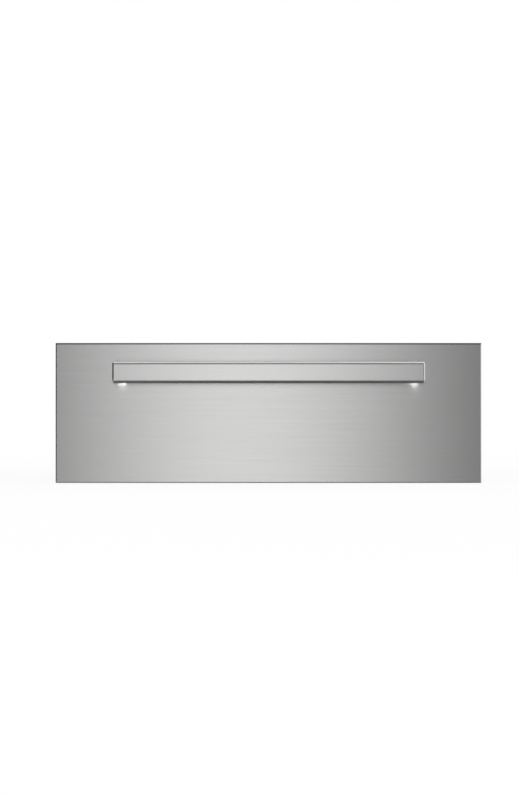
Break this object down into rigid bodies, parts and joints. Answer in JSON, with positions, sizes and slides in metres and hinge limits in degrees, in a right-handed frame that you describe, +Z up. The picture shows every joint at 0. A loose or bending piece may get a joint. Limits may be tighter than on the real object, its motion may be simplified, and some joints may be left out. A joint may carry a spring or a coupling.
{
  "type": "built in warming drawer",
  "caption": "Stainless front with a bar handle on a heated drawer that slides out of a folded steel chassis on ball bearing slides.",
  "frame": {"origin": "on the ground, under the middle of the whole drawer, shut", "axes": "+X along the front to the right seen from in front, +Y from the front to the rear, +Z up"},
  "size_m": [0.7556, 0.6708, 0.2493],
  "materials": {
    "brushed_stainless": "horizontal brushed grain, satin",
    "satin_stainless": "mill satin",
    "galvanised_sheet": "galvanised, faint spangle",
    "zinc_plate": "bright zinc plated",
    "bearing_steel": "polished balls in a bright cage",
    "rack_chrome": "chrome plated wire",
    "element_sheath": "dull, heat darkened",
    "mineral_wool": "fibrous batt",
    "seal_rubber": "matt silicone",
    "black_plastic": "fine moulded texture",
    "board_green": "solder mask",
    "ceramic_white": "unglazed",
    "pilot_red": "clear moulded lens"
  },
  "bodies": {
    "chassis": {"base_pan": "galvanised_sheet", "left_side_panel": "galvanised_sheet", "right_side_panel": "galvanised_sheet", "back_panel": "galvanised_sheet", "top_cover": "galvanised_sheet", "junction_cover": "galvanised_sheet", "cavity_ceiling": "galvanised_sheet", "control_rail": "brushed_stainless", "bottom_rail": "brushed_stainless", "left_mounting_flange": "galvanised_sheet", "right_mounting_flange": "galvanised_sheet", "base_insulation": "mineral_wool", "ceiling_insulation": "mineral_wool", "heat_reflector": "satin_stainless", "heating_element": "element_sheath", "element_terminal_plate": "zinc_plate", "left_outer_element_support": "ceramic_white", "left_inner_element_support": "ceramic_white", "right_outer_element_support": "ceramic_white", "right_inner_element_support": "ceramic_white", "temperature_sensor": "zinc_plate", "limit_thermostat": "ceramic_white", "terminal_block": "ceramic_white", "cord_gland": "black_plastic", "control_fascia": "brushed_stainless", "heat_control": "black_plastic", "indicator_lens": "pilot_red", "control_board": "board_green", "control_housing": "black_plastic", "left_outer_member": "zinc_plate", "right_outer_member": "zinc_plate"},
    "drawer": {"front_skin": "brushed_stainless", "front_liner": "satin_stainless", "front_insulation": "mineral_wool", "door_gasket": "seal_rubber", "handle_bar": "brushed_stainless", "left_handle_post": "brushed_stainless", "right_handle_post": "brushed_stainless", "left_handle_screw": "zinc_plate", "right_handle_screw": "zinc_plate", "drawer_left_wall": "satin_stainless", "drawer_right_wall": "satin_stainless", "drawer_back_wall": "satin_stainless", "drawer_front_wall": "satin_stainless", "drawer_floor": "satin_stainless", "left_front_bracket": "zinc_plate", "right_front_bracket": "zinc_plate", "wire_rack": "rack_chrome", "left_drawer_member": "zinc_plate", "right_drawer_member": "zinc_plate"},
    "left_middle": {"left_middle_member": "zinc_plate"},
    "right_middle": {"right_middle_member": "zinc_plate"},
    "left_outer_cage": {"left_outer_ball_cage": "bearing_steel"},
    "right_outer_cage": {"right_outer_ball_cage": "bearing_steel"},
    "left_inner_cage": {"left_inner_ball_cage": "bearing_steel"},
    "right_inner_cage": {"right_inner_ball_cage": "bearing_steel"},
    "knob": {"temperature_knob": "black_plastic"},
    "power_key": {"power_button": "black_plastic"},
    "timer_key": {"timer_button": "black_plastic"},
    "shutter": {"vent_shutter": "satin_stainless"}
  },
  "joints": [
    {"name": "drawer_slide", "type": "slide", "parent": "chassis", "child": "drawer", "axis": [0, -1, 0], "range_m": [0, 0.48]},
    {"name": "left_middle_slide", "type": "slide", "parent": "chassis", "child": "left_middle", "axis": [0, -1, 0], "range_m": [0, 0.24]},
    {"name": "left_outer_cage_slide", "type": "slide", "parent": "chassis", "child": "left_outer_cage", "axis": [0, -1, 0], "range_m": [0, 0.12]},
    {"name": "left_inner_cage_slide", "type": "slide", "parent": "chassis", "child": "left_inner_cage", "axis": [0, -1, 0], "range_m": [0, 0.36]},
    {"name": "right_middle_slide", "type": "slide", "parent": "chassis", "child": "right_middle", "axis": [0, -1, 0], "range_m": [0, 0.24]},
    {"name": "right_outer_cage_slide", "type": "slide", "parent": "chassis", "child": "right_outer_cage", "axis": [0, -1, 0], "range_m": [0, 0.12]},
    {"name": "right_inner_cage_slide", "type": "slide", "parent": "chassis", "child": "right_inner_cage", "axis": [0, -1, 0], "range_m": [0, 0.36]},
    {"name": "temperature_knob_turn", "type": "hinge", "parent": "chassis", "child": "knob", "pos_m": [0.072, -0.2439, 0.217], "axis": [0, 1, 0], "range_deg": [0, 270]},
    {"name": "power_button_press", "type": "slide", "parent": "chassis", "child": "power_key", "axis": [0, 1, 0], "range_m": [0, 0.0015], "stiffness_N_per_m": 400},
    {"name": "timer_button_press", "type": "slide", "parent": "chassis", "child": "timer_key", "axis": [0, 1, 0], "range_m": [0, 0.0015], "stiffness_N_per_m": 400},
    {"name": "vent_shutter_slide", "type": "slide", "parent": "drawer", "child": "shutter", "axis": [1, 0, 0], "range_m": [0, 0.012]}
  ],
  "couplings": [
    {"joint": "left_middle_slide", "follows": "drawer_slide", "ratio": 0.5},
    {"joint": "left_outer_cage_slide", "follows": "drawer_slide", "ratio": 0.25},
    {"joint": "left_inner_cage_slide", "follows": "drawer_slide", "ratio": 0.75},
    {"joint": "right_middle_slide", "follows": "drawer_slide", "ratio": 0.5},
    {"joint": "right_outer_cage_slide", "follows": "drawer_slide", "ratio": 0.25},
    {"joint": "right_inner_cage_slide", "follows": "drawer_slide", "ratio": 0.75}
  ]
}
